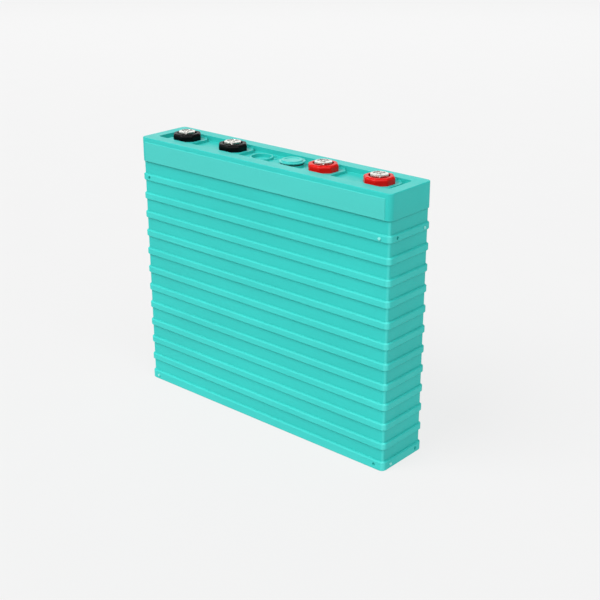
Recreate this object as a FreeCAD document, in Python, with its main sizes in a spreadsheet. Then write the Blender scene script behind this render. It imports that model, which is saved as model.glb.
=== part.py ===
"""Prismatic lithium cell in a ribbed, welded plastic case with four screw terminals.

Millimetres, +Z up.  The origin is the middle of the case's underside, +X runs
along the length towards the positive terminals and -Y is the front.  Every
sub-part is a document object whose sizes are bound to the "Sizes" sheet.
"""
import FreeCAD, Part
import Sketcher
import math
import operator
import os
from types import SimpleNamespace

Vector = FreeCAD.Vector

# Points closer than this, in millimetres, count as being in the same place.
TOLERANCE = 0.01

doc = FreeCAD.newDocument("prismatic_cell")

# Driving dimensions, in millimetres unless the name says otherwise.
DIMENSIONS = {
    # case
    "case_length": 256.0, "case_depth": 50.0, "case_height": 216.5,
    "wall_thickness": 2.5, "floor_thickness": 3.0, "wall_corner": 2.5,
    "cavity_corner": 1.0, "mouth_corner": 0.5, "rib_corner": 4.5,
    "rib_depth": 1.5, "rib_height": 6.0, "rib_chamfer": 0.9,
    "rib_pitch": 16.27, "rib_count": 11, "top_rib_level": 183.3,
    "foot_band": 7.8, "foot_chamfer": 0.7, "rebate_depth": 0.9, "weld_level": 209.5,
    "seam_gap": 0.6, "join_overlap": 1.0, "loose_gap": 0.1,
    # locating pins and sockets on the ribs
    "locator_side": 119.0, "locator_end": 16.0, "locator_low": 4.0,
    "pin_radius": 1.15, "pin_height": 0.8, "socket_radius": 1.35, "socket_depth": 1.3,
    # lid
    "lid_depth": 19.8, "lid_inset": 0.5, "lid_corner": 4.0, "lid_gap": 0.1,
    "lid_edge_round": 0.7, "panel_side": 122.8,
    "panel_high": 212.9, "panel_chamfer": 0.4,
    "recess_side": 118.0, "recess_end": 14.0, "recess_depth": 4.0, "recess_corner": 3.0,
    "core_side": 123.5, "core_end": 20.5, "core_wall": 2.0, "core_roof": 2.5,
    "core_corner": 2.0, "pip_radius": 1.1, "pip_bore": 0.5,
    "pip_height": 0.6, "pip_near_along": 10.3, "pip_near_across": 4.8,
    "pip_far_along": 5.4, "pip_far_across": 10.1,
    # terminals
    "outer_terminal": 98.5, "inner_terminal": 46.6, "seat_half": 14.0,
    "seat_corner": 5.0, "seat_level": 214.6, "seat_bore": 8.7, "seat_ledge": 1.3,
    "throat_gap": 0.2, "nut_half": 11.0, "nut_height": 5.4, "nut_round": 2.0,
    "nut_corner": 2.6, "nut_spigot": 3.6, "nut_mouth": 7.9, "post_thread": 7.0,
    "post_top": 214.6, "post_chamfer": 0.5, "hole_chamfer": 0.4,
    "post_flange": 10.5, "post_flange_thick": 3.0, "post_peg": 5.0,
    "post_rivet": 6.5, "post_rivet_thick": 0.8, "post_hole_depth": 9.4,
    "seal_inner": 8.2, "seal_outer": 9.8, "seal_height": 1.1, "seal_edge": 0.3,
    "fit_clearance": 0.05,
    # terminal screws and washers
    "screw_radius": 4.0, "screw_length": 11.0, "screw_tip": 0.6, "head_half": 6.5,
    "head_turn": 20.0, "head_height": 4.2, "head_bevel": 0.75, "head_bevel_inset": 0.2,
    "washer_outer": 7.7, "washer_thick": 1.2, "washer_gap": 0.2, "washer_edge": 0.15,
    "spring_washer_outer": 7.2, "spring_washer_gap": 0.1, "spring_washer_thick": 1.4,
    "spring_washer_split": 1.0, "spring_washer_slant": 1.2, "cross_span": 3.4,
    "cross_width": 1.3, "cross_depth": 2.0, "dish_radius": 4.9, "dish_depth": 0.4,
    "dish_slope": 0.5,
    # filling port, left of the middle, and relief vent, right of the middle
    "port_offset": 15.8, "fill_ring": 9.5, "fill_ring_level": 214.3,
    "fill_ring_chamfer": 0.4, "fill_mouth": 7.9, "fill_seat_level": 209.8,
    "fill_boss_low": 207.3, "fill_hole": 3.0, "fill_seal_thick": 0.6,
    "fill_seal_inset": 0.7, "fill_plug_level": 211.8, "fill_stem_low": 206.8,
    "plug_gap": 0.1, "plug_tip": 0.5, "plug_rim": 1.6, "plug_edge": 0.3,
    "vent_boss": 9.3, "vent_boss_level": 213.9, "vent_tube": 10.0,
    "vent_tube_low": 204.5, "vent_thread": 7.0, "vent_gasket_thick": 0.8,
    "vent_gasket_outer": 9.0, "cap_low": 206.5, "cap_neck": 8.6,
    "cap_flange": 10.4, "cap_flange_low": 215.6, "cap_flange_thick": 0.8,
    "cap_flange_edge": 0.2, "cap_crown": 8.2, "cap_crown_root": 0.15,
    "cap_level": 217.3, "cap_dish": 5.8, "cap_dish_depth": 0.5, "cap_edge": 0.35,
    "cap_chamber": 5.4, "cap_scallops": 24, "scallop_radius": 0.8,
    "scallop_offset": 0.35, "cap_port_count": 6, "cap_port_radius": 0.35,
    "vent_seat_thick": 2.0, "vent_seat_lip": 0.5, "vent_seat_gap": 0.02,
    "seat_lip_foot": 0.9, "seat_lip_crest": 0.5, "vent_orifice": 2.0,
    "valve_pad_radius": 3.6, "valve_pad_thick": 0.8, "valve_radius": 4.8,
    "valve_thick": 1.2, "valve_stub": 1.9, "valve_stub_height": 1.6, "stub_edge": 0.3,
    "spring_radius": 3.0, "spring_wire": 0.25, "spring_turns": 4.5,
    # inside the case
    "tray_half_length": 123.5, "tray_half_depth": 20.8, "tray_floor": 1.5,
    "tray_wall": 1.0, "tray_height": 9.0, "stack_half_length": 116.0,
    "cathode_thick": 2.0, "anode_thick": 1.6, "separator_thick": 0.25,
    "cathode_count": 9, "stack_low": 5.2, "cathode_top": 180.0, "anode_top": 181.0,
    "separator_top": 182.5, "separator_overhang": 0.4, "electrode_step": 0.8,
    "wrap_thick": 0.3, "wrap_top": 182.5, "end_spacer_thick": 5.3,
    "end_spacer_gap": 0.3, "end_spacer_web": 1.2, "window_margin": 5.0,
    "window_bar": 8.0, "window_count": 5, "top_spacer_thick": 0.8,
    "top_spacer_reach": 3.0, "cavity_gap": 1.0, "slot_gap": 0.2,
    "slot_low": 49.0, "slot_high": 96.0, "divider_thick": 3.0,
    "collector_low": 204.0, "collector_thick": 2.5, "collector_half": 9.0,
    "collector_start": 33.0, "collector_end": 112.0, "blade_start": 42.0,
    "blade_end": 103.0, "blade_low": 193.0, "blade_thick": 2.0,
    "blade_neck_start": 55.0, "blade_neck_end": 90.0, "blade_drop": 1.2,
    "foil_thick": 0.3, "foil_pitch": 0.35, "foil_start": 50.0, "foil_end": 95.0,
    "foil_rise": 183.8, "foil_gather": 188.5, "foil_gather_step": 0.6,
    "foil_top": 202.5, "clamp_thick": 1.6, "rivet_radius": 1.6, "rivet_inset": 4.0,
    "rivet_head": 2.6, "rivet_head_thick": 0.9,
}

sheet = doc.addObject("Spreadsheet::Sheet", "Sizes")
for row, (alias, number) in enumerate(DIMENSIONS.items(), start=1):
    sheet.set(f"A{row}", alias)
    sheet.set(f"B{row}", str(number))
    sheet.setAlias(f"B{row}", alias)
doc.recompute()


class Size:
    """A number together with the sheet formula that it comes from."""

    def __init__(self, number, formula):
        self.number = number
        self.formula = formula

    def joined(self, other, sign, work, swap=False):
        first, second = (size(other), self) if swap else (self, size(other))
        return Size(work(first.number, second.number), f"({first.formula} {sign} {second.formula})")

    def __add__(self, other):
        return self.joined(other, "+", operator.add)

    def __radd__(self, other):
        return self.joined(other, "+", operator.add, swap=True)

    def __sub__(self, other):
        return self.joined(other, "-", operator.sub)

    def __rsub__(self, other):
        return self.joined(other, "-", operator.sub, swap=True)

    def __mul__(self, other):
        return self.joined(other, "*", operator.mul)

    def __rmul__(self, other):
        return self.joined(other, "*", operator.mul, swap=True)

    def __truediv__(self, other):
        return self.joined(other, "/", operator.truediv)

    def __neg__(self):
        return 0 - self


def size(thing):
    """A plain number as a Size, and a Size as it is."""
    return thing if isinstance(thing, Size) else Size(float(thing), f"{thing}")


def bind(thing, prop, amount):
    """Tie a property to the sheet."""
    thing.setExpression(prop, size(amount).formula)


d = SimpleNamespace(**{name: Size(float(sheet.get(name)), f"Sizes.{name}") for name in DIMENSIONS})

# Levels and half sizes that several sub-parts share.
half_length = d.case_length / 2
half_depth = d.case_depth / 2
wall_half_length = half_length - d.rib_depth
wall_half_depth = half_depth - d.rib_depth
cavity_half_length = wall_half_length - d.wall_thickness
cavity_half_depth = wall_half_depth - d.wall_thickness
lid_low = d.case_height - d.lid_depth
recess_floor = d.case_height - d.recess_depth
post_low = d.weld_level - d.post_flange_thick
washer_top = d.post_top + d.washer_thick
head_low = washer_top + d.spring_washer_thick
vent_seat_top = d.cap_low + d.vent_seat_thick
valve_low = vent_seat_top + d.vent_seat_lip
valve_pad_top = valve_low + d.valve_pad_thick
valve_top = valve_pad_top + d.valve_thick
electrode_pitch = d.cathode_thick + d.anode_thick + 2 * d.separator_thick
anode_count = d.cathode_count + 1
stack_half_depth = (electrode_pitch * d.cathode_count + d.anode_thick) / 2
tray_top_of_floor = d.floor_thickness + d.tray_floor
top_spacer_low = d.separator_top + d.loose_gap
top_spacer_high = top_spacer_low + d.top_spacer_thick
foil_pack_half = d.foil_pitch * anode_count / 2

nodes = []


# ---------------------------------------------------------------- tools for bodies
def new_body(label):
    """A PartDesign body that becomes one node."""
    body = doc.addObject("PartDesign::Body", label)
    body.Label = label
    nodes.append(body)
    return body


def origin_feature(body, role):
    return next(item for item in body.Origin.OriginFeatures if item.Role == role)


def sketch_on(body, role, lift=0):
    """A sketch on one of the body's origin planes, raised along its normal."""
    sketch = body.newObject("Sketcher::SketchObject", f"{body.Name}_outline")
    sketch.AttachmentSupport = (origin_feature(body, role), [""])
    sketch.MapMode = "FlatFace"
    bind(sketch, "AttachmentOffset.Base.z", lift)
    return sketch


def tie(sketch, kind, *spot_and_amount):
    """A sketch dimension that is bound to the sheet."""
    *spot, amount = spot_and_amount
    amount = size(amount)
    index = sketch.addConstraint(Sketcher.Constraint(kind, *spot, amount.number))
    name = f"dim{index}"
    sketch.renameConstraint(index, name)
    bind(sketch, f"Constraints.{name}", amount)


def draw_polygon(sketch, corners):
    """A closed outline of straight lines through corners given as sizes."""
    points = [Vector(size(x).number, size(y).number, 0) for x, y in corners]
    sides = [Part.LineSegment(a, b) for a, b in zip(points, points[1:] + points[:1])]
    ids = sketch.addGeometry(sides, False)
    for here, after in zip(ids, ids[1:] + ids[:1]):
        sketch.addConstraint(Sketcher.Constraint("Coincident", here, 2, after, 1))
    for here, (x, y) in zip(ids, corners):
        tie(sketch, "DistanceX", -1, 1, here, 1, x)
        tie(sketch, "DistanceY", -1, 1, here, 1, y)


def draw_circle(sketch, x, y, radius):
    middle = Vector(size(x).number, size(y).number, 0)
    curve = Part.Circle(middle, Vector(0, 0, 1), size(radius).number)
    index = sketch.addGeometry(curve, False)
    tie(sketch, "DistanceX", -1, 1, index, 3, x)
    tie(sketch, "DistanceY", -1, 1, index, 3, y)
    tie(sketch, "Radius", index, radius)


def draw_rounded(sketch, half_x, half_y, radius):
    """A centred rectangle with round corners: sides and arcs alternate."""
    hx, hy, r = (size(item).number for item in (half_x, half_y, radius))
    quarter = math.pi / 2
    sides = [
        (Vector(r - hx, -hy, 0), Vector(hx - r, -hy, 0)),
        (Vector(hx, r - hy, 0), Vector(hx, hy - r, 0)),
        (Vector(hx - r, hy, 0), Vector(r - hx, hy, 0)),
        (Vector(-hx, hy - r, 0), Vector(-hx, r - hy, 0)),
    ]
    centres = [(hx - r, r - hy), (hx - r, hy - r), (r - hx, hy - r), (r - hx, r - hy)]
    ids = []
    for turn, ((start, end), (cx, cy)) in enumerate(zip(sides, centres)):
        ids.append(sketch.addGeometry(Part.LineSegment(start, end), False))
        corner = Part.Circle(Vector(cx, cy, 0), Vector(0, 0, 1), r)
        arc = Part.ArcOfCircle(corner, (turn - 1) * quarter, turn * quarter)
        ids.append(sketch.addGeometry(arc, False))
    for here, after in zip(ids, ids[1:] + ids[:1]):
        sketch.addConstraint(Sketcher.Constraint("Tangent", here, 2, after, 1))
    bottom, right, top, left = ids[0::2]
    for level_side in (bottom, top):
        sketch.addConstraint(Sketcher.Constraint("Horizontal", level_side))
    for upright_side in (right, left):
        sketch.addConstraint(Sketcher.Constraint("Vertical", upright_side))
    for arc in ids[3::2]:
        sketch.addConstraint(Sketcher.Constraint("Equal", ids[1], arc))
    tie(sketch, "Radius", ids[1], radius)
    tie(sketch, "DistanceX", -1, 1, right, 1, half_x)
    tie(sketch, "DistanceX", left, 1, -1, 1, half_x)
    tie(sketch, "DistanceY", bottom, 1, -1, 1, half_y)
    tie(sketch, "DistanceY", -1, 1, top, 1, half_y)


def volume_of(body):
    doc.recompute()
    return body.Shape.Volume if body.Tip and not body.Shape.isNull() else 0.0


def extrude(body, kind, sketch, length, reverse=False, both_ways=False):
    """A Pad or Pocket; stops if it doesn't change the body's volume."""
    before = volume_of(body)
    feature = body.newObject(f"PartDesign::{kind}", f"{body.Name}_{kind.lower()}")
    feature.Profile = sketch
    bind(feature, "Length", length)
    feature.Reversed = reverse
    feature.Midplane = both_ways
    sketch.Visibility = False
    after = volume_of(body)
    changed = after > before if kind == "Pad" else after < before
    if not changed:
        raise RuntimeError(f"{feature.Name} on {body.Label} changed nothing")
    return feature


def pad(body, sketch, length, **options):
    return extrude(body, "Pad", sketch, length, **options)


def pocket(body, sketch, length, **options):
    return extrude(body, "Pocket", sketch, length, **options)


def turn(body, corners, kind="Revolution"):
    """Revolve a profile, given as (radius, height) corners, about the body's Z axis."""
    before = volume_of(body)
    sketch = sketch_on(body, "XZ_Plane")
    draw_polygon(sketch, corners)
    feature = body.newObject(f"PartDesign::{kind}", f"{body.Name}_{kind.lower()}")
    feature.Profile = sketch
    feature.ReferenceAxis = (sketch, ["V_Axis"])
    feature.Angle = 360
    sketch.Visibility = False
    after = volume_of(body)
    changed = after > before if kind == "Revolution" else after < before
    if not changed:
        raise RuntimeError(f"{feature.Name} on {body.Label} changed nothing")
    return feature


def groove(body, corners):
    return turn(body, corners, kind="Groove")


def polar_pattern(body, originals, count):
    feature = body.newObject("PartDesign::PolarPattern", f"{body.Name}_polar")
    feature.Originals = originals
    feature.Axis = (origin_feature(body, "Z_Axis"), [""])
    feature.Angle = 360
    bind(feature, "Occurrences", count)
    body.Tip = feature
    doc.recompute()
    return feature


def edges_where(shape, test, direction=None):
    """Names of the edges whose every vertex passes the test, and that run level or upright."""
    names = []
    for index, edge in enumerate(shape.Edges, start=1):
        points = [vertex.Point for vertex in edge.Vertexes]
        heights = [point.z for point in points]
        level = max(heights) - min(heights) < TOLERANCE
        wanted = {None: True, "level": level, "upright": not level}[direction]
        if wanted and all(test(point) for point in points):
            names.append(f"Edge{index}")
    return names


def dress(body, kind, prop, amount, test, direction=None):
    """A Fillet or Chamfer on the edges that pass the test."""
    base = body.Tip
    edges = edges_where(base.Shape, test, direction)
    feature = body.newObject(f"PartDesign::{kind}", f"{body.Name}_{kind.lower()}")
    feature.Base = (base, edges)
    bind(feature, prop, amount)
    doc.recompute()
    return feature


def near(number, target):
    return abs(number - size(target).number) < TOLERANCE


def place(thing, x=0, y=0, z=0):
    for axis, amount in zip("xyz", (x, y, z)):
        bind(thing, f"Placement.Base.{axis}", amount)


# ---------------------------------------------------------------- case and lid
def make_case_shell():
    """Open-topped ribbed box; its rebated mouth is welded into the lid."""
    body = new_body("case_shell")
    wall = sketch_on(body, "XY_Plane")
    draw_rounded(wall, wall_half_length, wall_half_depth, d.wall_corner)
    shoulder = lid_low - d.seam_gap
    pad(body, wall, shoulder)

    mouth = sketch_on(body, "XY_Plane", shoulder)
    draw_rounded(
        mouth, wall_half_length - d.rebate_depth, wall_half_depth - d.rebate_depth, d.mouth_corner,
    )
    pad(body, mouth, d.weld_level - shoulder)

    foot = sketch_on(body, "XY_Plane")
    draw_rounded(foot, half_length, half_depth, d.rib_corner)
    pad(body, foot, d.foot_band)

    rib_outline = sketch_on(body, "XY_Plane", d.top_rib_level)
    draw_rounded(rib_outline, half_length, half_depth, d.rib_corner)
    rib = pad(body, rib_outline, d.rib_height, both_ways=True)
    ribs = body.newObject("PartDesign::LinearPattern", "case_ribs")
    ribs.Originals = [rib]
    ribs.Direction = (origin_feature(body, "Z_Axis"), [""])
    ribs.Reversed = True
    bind(ribs, "Length", d.rib_pitch * (d.rib_count - 1))
    bind(ribs, "Occurrences", d.rib_count)
    body.Tip = ribs
    doc.recompute()

    def on_rib_rim(point):
        outside_x = abs(point.x) > wall_half_length.number + TOLERANCE
        outside_y = abs(point.y) > wall_half_depth.number + TOLERANCE
        return (outside_x or outside_y) and point.z > TOLERANCE

    dress(body, "Chamfer", "Size", d.rib_chamfer, on_rib_rim, "level")
    dress(body, "Chamfer", "Size", d.foot_chamfer, lambda p: near(p.z, 0))

    cavity = sketch_on(body, "XY_Plane", d.floor_thickness)
    draw_rounded(cavity, cavity_half_length, cavity_half_depth, d.cavity_corner)
    pocket(body, cavity, d.weld_level, reverse=True)
    add_locators(body)


def add_locators(body):
    """Pins and sockets that key one cell to the next; half a turn about Z repeats them."""
    faces = [
        ("XZ_Plane", d.locator_side, half_depth),
        ("YZ_Plane", d.locator_end, half_length),
    ]
    features = []
    for role, across, outward in faces:
        pins = sketch_on(body, role, outward - d.join_overlap)
        draw_circle(pins, across, d.top_rib_level, d.pin_radius)
        draw_circle(pins, -across, d.locator_low, d.pin_radius)
        features.append(pad(body, pins, d.pin_height + d.join_overlap))
        sockets = sketch_on(body, role, outward)
        draw_circle(sockets, -across, d.top_rib_level, d.socket_radius)
        draw_circle(sockets, across, d.locator_low, d.socket_radius)
        features.append(pocket(body, sockets, d.socket_depth))
    polar_pattern(body, features, 2)


def terminals():
    """Name, and place along X, of the four terminals."""
    return [
        ("negative_{}_outer", -d.outer_terminal),
        ("negative_{}_inner", -d.inner_terminal),
        ("positive_{}_inner", d.inner_terminal),
        ("positive_{}_outer", d.outer_terminal),
    ]


def seat_corners(x):
    """Octagonal pad under a terminal nut."""
    half = d.seat_half
    cut = d.seat_half - d.seat_corner
    return [
        (x + half, -cut), (x + half, cut), (x + cut, half), (x - cut, half),
        (x - half, cut), (x - half, -cut), (x - cut, -half), (x + cut, -half),
    ]


def make_lid():
    """Deep lid: flat rim, sunken top with a pad under each nut, port rings, two side panels."""
    body = new_body("lid")
    lid_half_length = half_length - d.lid_inset
    lid_half_depth = half_depth - d.lid_inset
    block = sketch_on(body, "XY_Plane", lid_low)
    draw_rounded(block, lid_half_length, lid_half_depth, d.lid_corner)
    pad(body, block, d.lid_depth)

    panel = sketch_on(body, "XZ_Plane")
    draw_polygon(panel, [
        (-d.panel_side, lid_low), (d.panel_side, lid_low),
        (d.panel_side, d.panel_high), (-d.panel_side, d.panel_high),
    ])
    pad(body, panel, d.case_depth, both_ways=True)
    dress(body, "Chamfer", "Size", d.panel_chamfer, lambda p: near(abs(p.y), half_depth))
    dress(body, "Fillet", "Radius", d.lid_edge_round, lambda p: near(p.z, d.case_height))

    recess = sketch_on(body, "XY_Plane", d.case_height)
    draw_rounded(recess, d.recess_side, d.recess_end, d.recess_corner)
    pocket(body, recess, d.recess_depth)

    inside = sketch_on(body, "XY_Plane", lid_low)
    draw_rounded(
        inside,
        wall_half_length - d.rebate_depth + d.lid_gap,
        wall_half_depth - d.rebate_depth + d.lid_gap,
        d.mouth_corner + d.lid_gap,
    )
    pocket(body, inside, d.weld_level - lid_low, reverse=True)

    core = sketch_on(body, "XY_Plane", d.weld_level)
    draw_rounded(core, d.core_side, d.core_end, d.core_corner)
    draw_rounded(
        core, d.recess_side + d.core_wall, d.recess_end + d.core_wall, d.core_corner,
    )
    pocket(body, core, d.case_height - d.core_roof - d.weld_level, reverse=True)

    sunk = recess_floor - d.join_overlap
    seats = sketch_on(body, "XY_Plane", sunk)
    for _, x in terminals():
        draw_polygon(seats, seat_corners(x))
    pad(body, seats, d.seat_level - sunk)

    for x, radius, high in (
        (-d.port_offset, d.fill_ring, d.fill_ring_level),
        (d.port_offset, d.vent_boss, d.vent_boss_level),
    ):
        boss = sketch_on(body, "XY_Plane", sunk)
        draw_circle(boss, x, 0, radius)
        pad(body, boss, high - sunk)
    dress(
        body, "Chamfer", "Size", d.fill_ring_chamfer,
        lambda p: near(p.z, d.fill_ring_level) and abs(p.x) < 2 * d.port_offset.number,
    )
    for x, radius, low in (
        (-d.port_offset, d.fill_ring, d.fill_boss_low),
        (d.port_offset, d.vent_tube, d.vent_tube_low),
    ):
        tube = sketch_on(body, "XY_Plane", low)
        draw_circle(tube, x, 0, radius)
        pad(body, tube, d.weld_level + d.join_overlap - low)

    bores = sketch_on(body, "XY_Plane", d.seat_level)
    for _, x in terminals():
        draw_circle(bores, x, 0, d.seat_bore)
    pocket(body, bores, d.seat_level - d.weld_level - d.seat_ledge)
    throats = sketch_on(body, "XY_Plane", d.weld_level + d.seat_ledge)
    for _, x in terminals():
        draw_circle(throats, x, 0, d.post_thread + d.throat_gap)
    pocket(body, throats, d.seat_ledge)

    fill_mouth = sketch_on(body, "XY_Plane", d.fill_ring_level)
    draw_circle(fill_mouth, -d.port_offset, 0, d.fill_mouth)
    pocket(body, fill_mouth, d.fill_ring_level - d.fill_seat_level)
    fill_hole = sketch_on(body, "XY_Plane", d.fill_seat_level)
    draw_circle(fill_hole, -d.port_offset, 0, d.fill_hole)
    pocket(body, fill_hole, d.fill_seat_level - d.fill_boss_low)
    vent_bore = sketch_on(body, "XY_Plane", d.vent_boss_level)
    draw_circle(vent_bore, d.port_offset, 0, d.vent_thread + d.fit_clearance)
    pocket(body, vent_bore, d.vent_boss_level - d.vent_tube_low)

    pips = sketch_on(body, "XY_Plane", sunk)
    for along, across in (
        (d.pip_near_along, d.pip_near_across), (d.pip_far_along, d.pip_far_across),
    ):
        draw_circle(pips, along - d.port_offset, across, d.pip_radius)
        draw_circle(pips, along - d.port_offset, across, d.pip_bore)
    pad(body, pips, d.join_overlap + d.pip_height)


# ---------------------------------------------------------------- terminals
def make_nut(label, x):
    """Octagonal terminal nut: rounded above, threaded on the post, spigot in the lid."""
    body = new_body(label)
    octagon = sketch_on(body, "XY_Plane", d.seat_level)
    half = d.nut_half
    cut = half * round(math.tan(math.pi / 8), 6)
    draw_polygon(octagon, [
        (half, -cut), (half, cut), (cut, half), (-cut, half),
        (-half, cut), (-half, -cut), (-cut, -half), (cut, -half),
    ])
    pad(body, octagon, d.nut_height)
    nut_top = d.seat_level + d.nut_height
    dress(body, "Fillet", "Radius", d.nut_corner, lambda p: True, "upright")
    dress(body, "Fillet", "Radius", d.nut_round, lambda p: near(p.z, nut_top))
    spigot_low = d.seat_level - d.nut_spigot
    spigot = sketch_on(body, "XY_Plane", spigot_low)
    draw_circle(spigot, 0, 0, d.seat_bore - d.fit_clearance)
    pad(body, spigot, d.nut_spigot)
    mouth = sketch_on(body, "XY_Plane", nut_top)
    draw_circle(mouth, 0, 0, d.nut_mouth)
    pocket(body, mouth, nut_top - d.post_top)
    bore = sketch_on(body, "XY_Plane", d.post_top)
    draw_circle(bore, 0, 0, d.post_thread + d.fit_clearance)
    pocket(body, bore, d.post_top - spigot_low)
    place(body, x)


def make_post(label, x):
    """Turned terminal post: rivet head, peg, sealing flange, thread and tapped hole."""
    body = new_body(label)
    rivet_low = d.collector_low - d.post_rivet_thick
    hole = d.screw_radius + d.fit_clearance
    hole_low = d.post_top - d.post_hole_depth
    groove_low = d.weld_level - d.seal_height
    turn(body, [
        (0, rivet_low), (d.post_rivet, rivet_low), (d.post_rivet, d.collector_low),
        (d.post_peg, d.collector_low), (d.post_peg, post_low), (d.post_flange, post_low),
        (d.post_flange, d.weld_level), (d.seal_outer, d.weld_level),
        (d.seal_outer, groove_low), (d.seal_inner, groove_low),
        (d.seal_inner, d.weld_level), (d.post_thread, d.weld_level),
        (d.post_thread, d.post_top - d.post_chamfer), (d.post_thread - d.post_chamfer, d.post_top),
        (hole + d.hole_chamfer, d.post_top), (hole, d.post_top - d.hole_chamfer),
        (hole, hole_low), (0, hole_low),
    ])
    place(body, x)


def make_post_seal(label, x):
    """Rubber ring in the groove of the post's flange."""
    body = new_body(label)
    low = d.weld_level - d.seal_height
    inner = d.seal_inner + d.fit_clearance
    outer = d.seal_outer - d.fit_clearance
    soft = d.seal_edge
    turn(body, [
        (inner + soft, low), (outer - soft, low), (outer, low + soft),
        (outer, d.weld_level - soft), (outer - soft, d.weld_level),
        (inner + soft, d.weld_level), (inner, d.weld_level - soft), (inner, low + soft),
    ])
    place(body, x)


def make_flat_washer(label, x):
    body = new_body(label)
    inner = d.screw_radius + d.washer_gap
    edge = d.washer_edge
    turn(body, [
        (inner, d.post_top), (d.washer_outer, d.post_top), (d.washer_outer, washer_top - edge),
        (d.washer_outer - edge, washer_top), (inner, washer_top),
    ])
    place(body, x)


def make_spring_washer(label, x):
    """Split ring, squeezed flat under the screw's head."""
    body = new_body(label)
    inner = d.screw_radius + d.spring_washer_gap
    turn(body, [
        (inner, washer_top), (d.spring_washer_outer, washer_top),
        (d.spring_washer_outer, head_low), (inner, head_low),
    ])
    split = sketch_on(body, "XY_Plane", head_low)
    gap = d.spring_washer_split / 2
    reach = d.spring_washer_outer + d.join_overlap
    slant = d.spring_washer_slant
    middle = inner / 2
    draw_polygon(split, [
        (-gap, -reach), (gap, -reach), (gap + slant, -middle), (slant - gap, -middle),
    ])
    pocket(body, split, d.spring_washer_thick)
    place(body, x)


def make_screw(label, x):
    """Hexagon head screw with a dished, cross-recessed head."""
    body = new_body(label)
    head_top = head_low + d.head_height
    hexagon = sketch_on(body, "XY_Plane", head_low)
    half = d.head_half
    corner = half * round(2 / math.sqrt(3), 6)
    draw_polygon(hexagon, [
        (half, -corner / 2), (half, corner / 2), (0, corner),
        (-half, corner / 2), (-half, -corner / 2), (0, -corner),
    ])
    pad(body, hexagon, d.head_height)
    beyond = corner + d.join_overlap
    groove(body, [
        (half - d.head_bevel_inset, head_top), (beyond, head_top), (beyond, head_top - 2 * d.head_bevel),
    ])
    tip = head_low - d.screw_length
    turn(body, [
        (0, tip), (d.screw_radius - d.screw_tip, tip), (d.screw_radius, tip + d.screw_tip),
        (d.screw_radius, head_low + d.join_overlap), (0, head_low + d.join_overlap),
    ])
    groove(body, [
        (0, head_top), (d.dish_radius, head_top),
        (d.dish_radius - d.dish_slope, head_top - d.dish_depth), (0, head_top - d.dish_depth),
    ])
    cross = sketch_on(body, "XY_Plane", head_top)
    arm = d.cross_width / 2
    span = d.cross_span
    draw_polygon(cross, [
        (span, -arm), (span, arm), (arm, arm), (arm, span), (-arm, span), (-arm, arm),
        (-span, arm), (-span, -arm), (-arm, -arm), (-arm, -span), (arm, -span), (arm, -arm),
    ])
    pocket(body, cross, d.cross_depth)
    place(body, x)
    body.Placement.Rotation = FreeCAD.Rotation(Vector(0, 0, 1), -d.head_turn.number)


# ---------------------------------------------------------------- filling port and vent
def make_fill_plug():
    """Flat sealing plug sunk in the filling port's ring."""
    body = new_body("fill_plug")
    disc_low = d.fill_seat_level + d.fill_seal_thick
    stem = d.fill_hole - d.fit_clearance
    rim = d.fill_mouth - d.plug_gap
    top = d.fill_plug_level
    edge = d.plug_edge
    turn(body, [
        (0, d.fill_stem_low), (stem - d.plug_tip, d.fill_stem_low),
        (stem, d.fill_stem_low + d.plug_tip), (stem, disc_low), (rim, disc_low),
        (rim, top - edge), (rim - edge, top), (rim - d.plug_rim, top),
        (rim - d.plug_rim - edge, top - edge), (0, top - edge),
    ])
    place(body, -d.port_offset)


def make_fill_seal():
    body = new_body("fill_seal")
    low = d.fill_seat_level
    high = low + d.fill_seal_thick
    inner = d.fill_hole + d.fit_clearance
    outer = d.fill_mouth - d.fill_seal_inset
    turn(body, [(inner, low), (outer, low), (outer, high), (inner, high)])
    place(body, -d.port_offset)


def make_vent_cap():
    """Screw-in vent cap: hollow threaded stem, ported neck, scalloped flange, dished crown."""
    body = new_body("vent_cap")
    neck_low = d.vent_boss_level + d.vent_gasket_thick
    flange_high = d.cap_flange_low + d.cap_flange_thick
    dish = d.cap_level - d.cap_dish_depth
    soft = d.cap_edge
    turn(body, [
        (d.cap_chamber, d.cap_low), (d.vent_thread - soft, d.cap_low),
        (d.vent_thread, d.cap_low + soft), (d.vent_thread, neck_low), (d.cap_neck, neck_low),
        (d.cap_neck, d.cap_flange_low), (d.cap_flange - d.cap_flange_edge, d.cap_flange_low),
        (d.cap_flange, d.cap_flange_low + d.cap_flange_edge), (d.cap_flange, flange_high - soft),
        (d.cap_flange - soft, flange_high), (d.cap_crown + soft, flange_high),
        (d.cap_crown, flange_high + d.cap_crown_root), (d.cap_crown, d.cap_level - soft),
        (d.cap_crown - soft, d.cap_level), (d.cap_dish + soft, d.cap_level), (d.cap_dish, dish),
        (0, dish), (0, d.cap_flange_low), (d.cap_chamber, d.cap_flange_low),
    ])
    scallop = sketch_on(body, "XY_Plane", flange_high)
    draw_circle(scallop, d.cap_flange + d.scallop_offset, 0, d.scallop_radius)
    notch = pocket(body, scallop, d.cap_flange_thick)
    polar_pattern(body, [notch], d.cap_scallops)
    port = sketch_on(body, "YZ_Plane")
    draw_circle(port, 0, (neck_low + d.cap_flange_low) / 2, d.cap_port_radius)
    opening = pocket(body, port, d.cap_neck + d.join_overlap, reverse=True)
    polar_pattern(body, [opening], d.cap_port_count)
    place(body, d.port_offset)


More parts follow.
